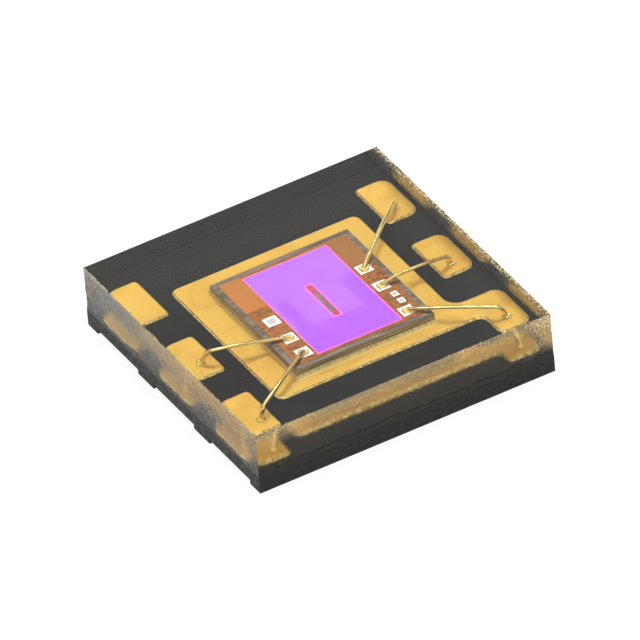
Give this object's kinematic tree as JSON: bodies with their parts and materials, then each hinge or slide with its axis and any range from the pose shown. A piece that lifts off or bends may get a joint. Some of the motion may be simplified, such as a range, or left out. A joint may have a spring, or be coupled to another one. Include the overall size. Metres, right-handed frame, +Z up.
{
  "type": "ambient light sensor",
  "caption": "Flat square light sensor: a wired silicon die with a violet filter on a black board, moulded into clear resin, with solder lands underneath.",
  "frame": {"origin": "middle of the underside, on the plane that the board rests on", "axes": "+Z up out of the clear face, +X from the column of contacts 1 to 3 to the column of contacts 4 to 6, +Y from contact 3 to contact 1"},
  "size_m": [0.002, 0.002, 0.0004],
  "materials": {
    "black_board": "black glass-fibre laminate, sawn sides",
    "gold_plating": "matt gold plating",
    "copper_post": "plated copper",
    "glue": "cured die glue",
    "silicon": "sawn silicon",
    "brown_coat": "smooth brown coat",
    "diode": "bare silicon, grey green",
    "violet_filter": "interference film",
    "aluminium_pad": "bright thin metal",
    "gold_wire": "drawn gold",
    "clear_resin": "clear, smooth on top, saw-cut sides"
  },
  "bodies": {
    "root": {"base_board": "black_board", "solder_land_1": "gold_plating", "solder_land_2": "gold_plating", "solder_land_3": "gold_plating", "solder_land_4": "gold_plating", "solder_land_5": "gold_plating", "solder_land_6": "gold_plating", "via_post_1": "copper_post", "via_post_2": "copper_post", "via_post_3": "copper_post", "via_post_4": "copper_post", "via_post_5": "copper_post", "via_post_6": "copper_post", "lead_pad_1": "gold_plating", "lead_pad_2": "gold_plating", "lead_pad_3": "gold_plating", "lead_pad_5": "gold_plating", "lead_pad_6": "gold_plating", "die_paddle": "gold_plating", "die_adhesive": "glue", "sensor_die": "silicon", "surface_coat": "brown_coat", "photodiode_strips": "diode", "filter_film": "violet_filter", "bond_pad_2": "aluminium_pad", "bond_pad_3": "aluminium_pad", "bond_pad_4": "aluminium_pad", "bond_pad_5": "aluminium_pad", "bond_pad_6": "aluminium_pad", "spare_bond_pad": "aluminium_pad", "probe_pad_1": "aluminium_pad", "probe_pad_2": "aluminium_pad", "bond_wire_2": "gold_wire", "bond_wire_3": "gold_wire", "bond_wire_4": "gold_wire", "bond_wire_5": "gold_wire", "bond_wire_6": "gold_wire", "clear_encapsulant": "clear_resin"}
  },
  "joints": []
}
